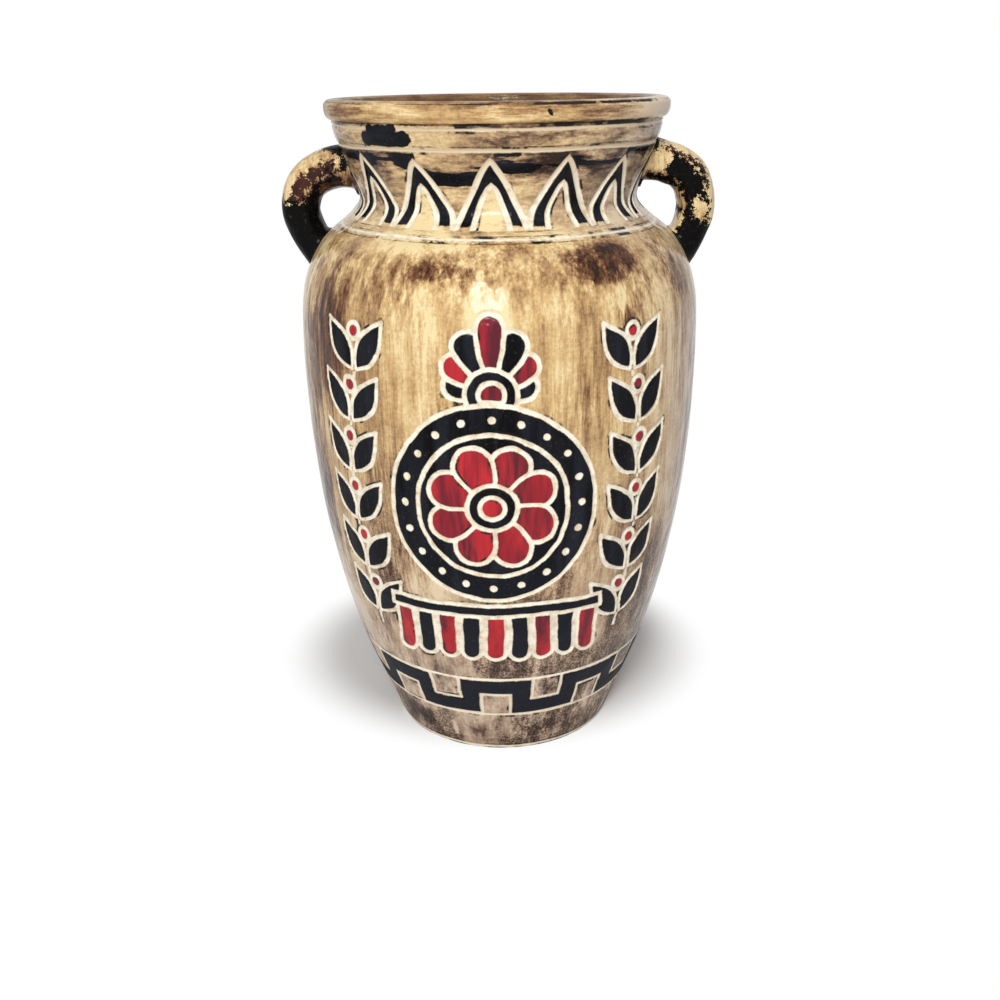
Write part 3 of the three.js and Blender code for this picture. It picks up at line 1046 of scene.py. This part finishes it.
def inked_and_shaded(glaze, colour, ink, tooth):
    """A colour with dark stretches along the lines' edges, partly wash left there and partly painted shade in
    the grooves, and dark wash in the scratches and in the painted shadows at the lip and the foot.
    """
    # Painted shade in part: dark along the grooves' edges.
    from_edge = glaze.math("ABSOLUTE", glaze.math("ADD", glaze.field("line"), 0.45))
    edge_wash_and_shade = glaze.between(from_edge, 0.75, 0.3)
    edge_dark_patches = glaze.between(glaze.noise(75, 5, 0.65), 0.54, 0.6)
    colour = glaze.mix(glaze.math("MULTIPLY", edge_wash_and_shade, edge_dark_patches), colour, ink)
    scratch_and_shade = glaze.over(glaze.field("ink"), glaze.math("MULTIPLY", tooth, 0.4), 0.15)
    broken = glaze.between(glaze.noise(55, 4, 0.6), 0.42, 0.52)
    return glaze.mix(glaze.math("MULTIPLY", scratch_and_shade, broken), colour, ink)


def lining_colour(glaze):
    """The clay inside the vase, mottled from tan to dark brown."""
    tan, brown, dark = srgb(180, 146, 104), srgb(112, 84, 62), srgb(54, 40, 34)
    return glaze.ramp(glaze.noise(70, 6, 0.6), ((0.3, tan), (0.5, brown), (0.7, dark)))


def set_gloss(glaze, black_mask, line_mask):
    """A clear coat on a matt base. It is thinner on the black, near the foot and over the lip."""
    rough = glaze.between(glaze.noise(160, 5, 0.6), 0.3, 0.7, 0.24, 0.4)
    glaze.feed(glaze.shader.inputs["Roughness"], glaze.math("MULTIPLY_ADD", line_mask, 0.12, rough))
    glaze.shader.inputs["Specular IOR Level"].default_value = 0.0
    gloss = glaze.math("MULTIPLY_ADD", black_mask, -0.5, 0.82)
    gloss = glaze.math("MULTIPLY", gloss, glaze.between(glaze.height, 0.01, 0.07, 0.4, 1.0))
    gloss = glaze.math("MULTIPLY", gloss, glaze.between(glaze.height, 0.286, 0.298, 1.0, 0.6))
    glaze.feed(glaze.shader.inputs["Coat Weight"], gloss)
    glaze.shader.inputs["Coat IOR"].default_value = 1.3
    glaze.shader.inputs["Coat Roughness"].default_value = 0.1


def set_relief(glaze, relief):
    """Grain and brush marks in the base, and slow waves in the clear coat."""
    bumps = glaze.sum(
        0.5, (glaze.noise(420, 5, 0.6), 0.6), (glaze.noise(2400, 3, 0.7), 0.12),
        (glaze.strokes(90, 4, 0.5), 0.9))
    glaze.bump("Normal", bumps, 0.6 * MM * relief)
    waves = glaze.sum(
        0.5, (glaze.noise(80, 2, 0.5), 1.0), (glaze.noise(260, 2, 0.5), 0.1),
        (glaze.noise(900, 2, 0.5), 0.07 * relief))
    glaze.bump("Coat Normal", waves, 3 * MM * relief)


def clay_glaze(name, colours, grain, ragged, thickness, specks, relief):
    """Glazed clay: wash, black, red and cream from the drawing's fields, with ragged hand-made edges."""
    glaze = Glaze(name, grain)
    tooth = glaze.sum(0.0, (glaze.noise(420, 5, 0.68), ragged), (glaze.noise(1500, 3, 0.6), 0.5 * ragged))
    black_mask = glaze.over(glaze.field("black"), tooth, 0.16)
    red_mask = glaze.over(glaze.field("red"), tooth, 0.16)
    line_mask = glaze.over(glaze.field("line"), glaze.math("MULTIPLY", tooth, 0.5), 0.2)
    depth = glaze.strokes(120, 5, 0.6)
    colour = wash_colour(glaze, colours, thickness)
    colour = glaze.mix(red_mask, colour, red_colour(glaze, colours, depth))
    colour = glaze.mix(black_mask, colour, black_colour(glaze, colours, depth, specks))
    colour = glaze.mix(line_mask, colour, cream_colour(glaze, colours))
    colour = inked_and_shaded(glaze, colour, colours["ink"], tooth)
    colour = glaze.mix(glaze.field("inside"), colour, lining_colour(glaze))
    glaze.feed(glaze.shader.inputs["Base Color"], colour)
    set_gloss(glaze, black_mask, line_mask)
    set_relief(glaze, relief)
    return glaze.material


def chosen_colours():
    """The colours of the sidebar, by name."""
    chosen = bpy.context.scene.vase_colours
    names = VaseColours.__annotations__
    return {name: tuple(getattr(chosen, name)) for name in names}


def dress(
        piece, node, glaze_name, changes=None, grain=UPRIGHT, ragged=1.5, thickness=0.3, specks=0.1,
        relief=0.35):
    """Gives a piece its glaze, and puts it in the place of its packed section."""
    colours = chosen_colours()
    colours.update(changes or {})
    piece.data.materials.append(clay_glaze(glaze_name, colours, grain, ragged, thickness, specks, relief))
    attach(piece, "root")
    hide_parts(node)


# What a user would change

def colour_choice(name, description, default):
    """A colour in the sidebar."""
    return bpy.props.FloatVectorProperty(
        name=name, description=description, default=default, size=4, subtype="COLOR", min=0, max=1)


class VaseSizes(bpy.types.PropertyGroup):
    """Sizes and counts of the incised drawing"""
    line_width: bpy.props.FloatProperty(
        name="Line width", description="Width of an incised line on the body",
        default=2.1 * MM, min=0.5 * MM, max=4 * MM, unit="LENGTH")
    neck_line_width: bpy.props.FloatProperty(
        name="Neck line width", description="Width of an incised line on the neck",
        default=2.5 * MM, min=0.5 * MM, max=4 * MM, unit="LENGTH")
    line_depth: bpy.props.FloatProperty(
        name="Line depth", description="Depth of an incised line",
        default=0.7 * MM, min=0.1 * MM, max=2 * MM, unit="LENGTH")
    neck_arches: bpy.props.IntProperty(
        name="Neck arches", description="Pointed arches round the neck", default=14, min=6, max=30)
    key_units: bpy.props.IntProperty(
        name="Key units", description="Units of the square key round the foot", default=9, min=4, max=20)


class VaseColours(bpy.types.PropertyGroup):
    """Colours of the clay, the wash and the glazes"""
    cream: colour_choice("Cream", "Bare clay in the incised lines", srgb(249, 241, 222))
    cream_stain: colour_choice("Cream stain", "Clay lines where the wash has run in", srgb(206, 184, 148))
    cream_wash: colour_choice("Cream wash", "Wash at its thinnest", srgb(238, 216, 166))
    golden_wash: colour_choice("Golden wash", "Wash where it is thin", srgb(208, 172, 118))
    tan_wash: colour_choice("Tan wash", "Wash of middling thickness", srgb(158, 122, 84))
    brown_wash: colour_choice("Brown wash", "Wash where the brush left more", srgb(110, 70, 42))
    dark_wash: colour_choice("Dark wash", "Wash at its thickest", srgb(48, 27, 18))
    # The grey washes also colour the flanks, where their grey is partly painted shade.
    grey_pale: colour_choice("Pale grey wash", "Wash at its thinnest near the foot", srgb(214, 192, 178))
    grey_wash: colour_choice("Grey wash", "Wash where it is thin near the foot", srgb(166, 146, 134))
    grey_brown: colour_choice(
        "Grey-brown wash", "Wash where the brush left more near the foot", srgb(100, 86, 78))
    grey_dark: colour_choice("Dark grey wash", "Wash at its thickest near the foot", srgb(50, 42, 38))
    black: colour_choice("Black", "Black glaze", srgb(9, 9, 12))
    # Thin black is also the painted reflection of the floor in the black towards the foot.
    thin_black_and_reflection: colour_choice("Thin black", "Black glaze where it is thin", srgb(38, 41, 50))
    red: colour_choice("Red", "Red glaze", srgb(196, 46, 52))
    red_deep: colour_choice("Deep red", "Red glaze where it is thick", srgb(158, 30, 42))
    red_stain: colour_choice("Red stain", "Dark streaks in the red glaze", srgb(92, 30, 42))
    # This dark colour is also the painted shade along the grooves' edges, under and along the top of the lip,
    # and at the very foot.
    ink: colour_choice("Ink", "Dark wash left along the lines", srgb(34, 26, 24))


# Operators

class VASE_OT_floor(bpy.types.Operator):
    """Makes the floor slab of the vase"""
    bl_idname = "vase.floor"
    bl_label = "Floor slab"

    def execute(self, context):
        dress(floor_piece(full_turn(0.02)), "floor_disc", "Floor clay")
        return {"FINISHED"}


class VASE_OT_foot(bpy.types.Operator):
    """Makes the foot wall with its key band"""
    bl_idname = "vase.foot"
    bl_label = "Foot wall"

    def execute(self, context):
        piece = foot_section(row_step=0.65, angles=full_turn(0.0095))
        dress(piece, "foot_wall", "Foot glaze")
        return {"FINISHED"}


class VASE_OT_belly(bpy.types.Operator):
    """Makes the belly wall with the lower half of the front ornament"""
    bl_idname = "vase.belly"
    bl_label = "Belly wall"

    def execute(self, context):
        angles = angles_round(PANEL_STEP, BACK_STEP)
        piece = wall_section("belly_wall_glazed", FOOT_SEAM, BELLY_SEAM, row_step=0.68, angles=angles)
        dress(piece, "belly_wall", "Belly glaze")
        return {"FINISHED"}


class VASE_OT_shoulder(bpy.types.Operator):
    """Makes the shoulder wall with the upper half of the front ornament"""
    bl_idname = "vase.shoulder"
    bl_label = "Shoulder wall"

    def execute(self, context):
        angles = angles_round(PANEL_STEP, BACK_STEP)
        piece = wall_section("shoulder_wall_glazed", BELLY_SEAM, SHOULDER_SEAM, row_step=0.66, angles=angles)
        dress(piece, "shoulder_wall", "Shoulder glaze")
        return {"FINISHED"}


class VASE_OT_neck(bpy.types.Operator):
    """Makes the neck collar with its arches"""
    bl_idname = "vase.neck"
    bl_label = "Neck collar"

    def execute(self, context):
        angles = full_turn(0.0085)
        piece = wall_section("neck_collar_glazed", SHOULDER_SEAM, LIP_SEAM, row_step=0.55, angles=angles)
        greyer = {
            "golden_wash": srgb(206, 174, 128), "tan_wash": srgb(156, 127, 94),
            "brown_wash": srgb(100, 76, 60),
        }
        dress(piece, "neck_collar", "Neck glaze", greyer, grain=ACROSS, thickness=0.36)
        return {"FINISHED"}


class VASE_OT_lip(bpy.types.Operator):
    """Makes the rolled lip"""
    bl_idname = "vase.lip"
    bl_label = "Rolled lip"

    def execute(self, context):
        piece = lip_section(full_turn(0.012))
        dress(piece, "lip_ring", "Lip glaze", grain=TURNED, thickness=0.48)
        return {"FINISHED"}


class VASE_OT_handles(bpy.types.Operator):
    """Makes the two lug handles"""
    bl_idname = "vase.handles"
    bl_label = "Handles"

    def execute(self, context):
        maroon = {
            "red": srgb(74, 36, 26), "red_deep": srgb(48, 22, 17), "red_stain": srgb(28, 14, 12),
            "black": srgb(5, 5, 6), "thin_black_and_reflection": srgb(14, 13, 13),
            "grey_pale": srgb(232, 208, 158), "grey_wash": srgb(200, 168, 120),
            "grey_brown": srgb(128, 98, 74), "grey_dark": srgb(56, 42, 36),
        }
        for side, word in ((-1, "left"), (1, "right")):
            name = f"{word.title()} handle glaze"
            piece = handle_piece(word, side)
            dress(
                piece, f"{word}_handle", name, maroon, ragged=13, thickness=0.42,
                specks=0.12, relief=0.8)
        return {"FINISHED"}


class VASE_OT_stage(bpy.types.Operator):
    """Makes the floor, the studio light and the camera at the photograph's angle"""
    bl_idname = "vase.stage"
    bl_label = "Stage"

    def execute(self, context):
        stage_floor()
        studio_light(context.scene)
        photo_camera(context.scene)
        context.scene.view_settings.view_transform = "Standard"
        return {"FINISHED"}


# The stage

def seen_directly(nodes, links):
    """1 for rays that look straight, by a reflection or through glass, and 0 for rays that carry light."""
    rays = nodes.new("ShaderNodeLightPath")
    seen = rays.outputs["Is Camera Ray"]
    for kind in ("Is Glossy Ray", "Is Transmission Ray"):
        either = nodes.new("ShaderNodeMath")
        either.operation = "MAXIMUM"
        links.new(seen, either.inputs[0])
        links.new(rays.outputs[kind], either.inputs[1])
        seen = either.outputs[0]
    return seen


def floor_material():
    """A matt pale surface that turns into plain white past a soft oval round the vase's foot. The oval is a
    painted shadow: it lies where the vase's shadow falls, and the pale grey inside it is darker than the
    white beyond.
    """
    # Painted shadow: this pale grey shows only inside the oval, and its darkness sets how dark the vase's
    # shadow looks.
    pale = (0.78, 0.765, 0.755, 1)
    shadow_oval_shift, shadow_oval_scale = (0.004, -0.058, 0), (1, 1.1, 1)
    white_from, white_past = 0.08, 0.122
    material = bpy.data.materials.new("Studio floor")
    material.use_nodes = True
    nodes, links = material.node_tree.nodes, material.node_tree.links
    shader = nodes["Principled BSDF"]
    shader.inputs["Base Color"].default_value = pale
    shader.inputs["Roughness"].default_value = 0.9
    shader.inputs["Specular IOR Level"].default_value = 0.1
    place = nodes.new("ShaderNodeTexCoord")
    centre = nodes.new("ShaderNodeMapping")
    centre.inputs["Location"].default_value = shadow_oval_shift
    centre.inputs["Scale"].default_value = shadow_oval_scale
    links.new(place.outputs["Object"], centre.inputs["Vector"])
    distance = nodes.new("ShaderNodeVectorMath")
    distance.operation = "LENGTH"
    links.new(centre.outputs[0], distance.inputs[0])
    away = nodes.new("ShaderNodeMapRange")
    away.interpolation_type = "SMOOTHSTEP"
    for socket, number in zip(away.inputs[1:5], (white_from, white_past, 0.0, 1.0)):
        socket.default_value = number
    links.new(distance.outputs["Value"], away.inputs["Value"])
    share = nodes.new("ShaderNodeMath")
    share.operation = "MULTIPLY"
    links.new(seen_directly(nodes, links), share.inputs[0])
    links.new(away.outputs[0], share.inputs[1])
    white = nodes.new("ShaderNodeEmission")
    white.inputs["Strength"].default_value = 1.0
    blend = nodes.new("ShaderNodeMixShader")
    links.new(share.outputs[0], blend.inputs[0])
    links.new(shader.outputs[0], blend.inputs[1])
    links.new(white.outputs[0], blend.inputs[2])
    links.new(blend.outputs[0], nodes["Material Output"].inputs["Surface"])
    return material


def stage_floor():
    """A wide pale floor that keeps the vase's shadow inside a painted shadow oval, and turns into plain white
    further off.
    """
    half = 8.0
    corners = [(-half, -half, 0), (half, -half, 0), (half, half, 0), (-half, half, 0)]
    mesh = bpy.data.meshes.new("studio_floor")
    mesh.from_pydata(corners, [], [(0, 1, 2, 3)])
    mesh.materials.append(floor_material())
    floor = bpy.data.objects.new("studio_floor", mesh)
    bpy.context.scene.collection.objects.link(floor)


def area_lamp(name, place, size, power, target=(0, 0, 0.15)):
    """A soft rectangular lamp that points at the vase."""
    lamp = bpy.data.lights.new(name, "AREA")
    lamp.shape = "RECTANGLE"
    lamp.size, lamp.size_y = size
    lamp.energy = power
    lamp_object = bpy.data.objects.new(name, lamp)
    lamp_object.location = place
    lamp_object.rotation_euler = (Vector(target) - Vector(place)).to_track_quat("-Z", "Y").to_euler()
    bpy.context.scene.collection.objects.link(lamp_object)


def studio_light(scene):
    """One soft lamp in front and above, a wide one overhead, and an even white room."""
    area_lamp("front_lamp", (-0.17, -1.4, 0.98), (0.36, 0.7), 19, (0, 0, 0.2))
    area_lamp("top_lamp", (0.1, -0.3, 1.9), (1.6, 1.6), 6)
    world = bpy.data.worlds.new("White room")
    world.use_nodes = True
    scene.world = world
    nodes, links = world.node_tree.nodes, world.node_tree.links
    background = nodes["Background"]
    background.inputs["Color"].default_value = (1, 1, 1, 1)
    strength = nodes.new("ShaderNodeMapRange")
    strength.inputs["To Min"].default_value = 0.28
    strength.inputs["To Max"].default_value = 1.0
    links.new(seen_directly(nodes, links), strength.inputs["Value"])
    links.new(strength.outputs[0], background.inputs["Strength"])


def photo_camera(scene):
    """The camera of the photograph, from the lip, shoulder, key band and foot circles that it shows.

    Its place is in heights of the vase, and its lens in pixels of the photograph's width.
    """
    vase_height = VASE_TOP * MM
    distance, rise = 1.753 * vase_height, 1.041 * vase_height
    photo_width = 1000
    focal_pixels = 1133.3
    centre_row = 420
    camera = bpy.data.cameras.new("photo_camera")
    camera.sensor_width = 36
    camera.lens = focal_pixels * camera.sensor_width / photo_width
    camera.shift_x = -0.0007
    camera.shift_y = (centre_row - photo_width / 2) / photo_width
    view = bpy.data.objects.new("photo_camera", camera)
    view.location = (0, -distance, rise)
    pitch, roll = math.radians(17.28), math.radians(-0.67)
    look = Euler((math.pi / 2 - pitch, 0, 0)).to_matrix() @ Euler((0, 0, roll)).to_matrix()
    view.rotation_euler = look.to_euler()
    scene.collection.objects.link(view)
    scene.camera = view


class VASE_PT_sidebar(bpy.types.Panel):
    """Lists the vase's sizes, colours and steps"""
    bl_label = "Carved vase"
    bl_idname = "VASE_PT_sidebar"
    bl_space_type = "VIEW_3D"
    bl_region_type = "UI"
    bl_category = "Vase"

    def draw(self, context):
        for settings in (context.scene.vase_sizes, context.scene.vase_colours):
            column = self.layout.column(align=True)
            for name in type(settings).__annotations__:
                column.prop(settings, name)
        steps = self.layout.column(align=True)
        for operator in STEPS:
            steps.operator(operator.bl_idname)


STEPS = (
    VASE_OT_floor, VASE_OT_foot, VASE_OT_belly, VASE_OT_shoulder, VASE_OT_neck, VASE_OT_lip, VASE_OT_handles,
    VASE_OT_stage,
)
CLASSES = (VaseSizes, VaseColours, *STEPS, VASE_PT_sidebar)


def register():
    for each in CLASSES:
        bpy.utils.register_class(each)
    bpy.types.Scene.vase_sizes = bpy.props.PointerProperty(type=VaseSizes)
    bpy.types.Scene.vase_colours = bpy.props.PointerProperty(type=VaseColours)


def unregister():
    del bpy.types.Scene.vase_colours
    del bpy.types.Scene.vase_sizes
    for each in reversed(CLASSES):
        bpy.utils.unregister_class(each)


def main():
    register()
    bpy.ops.vase.floor()
    bpy.ops.vase.foot()
    bpy.ops.vase.belly()
    bpy.ops.vase.shoulder()
    bpy.ops.vase.neck()
    bpy.ops.vase.lip()
    bpy.ops.vase.handles()
    bpy.ops.vase.stage()


if __name__ == "__main__":
    main()
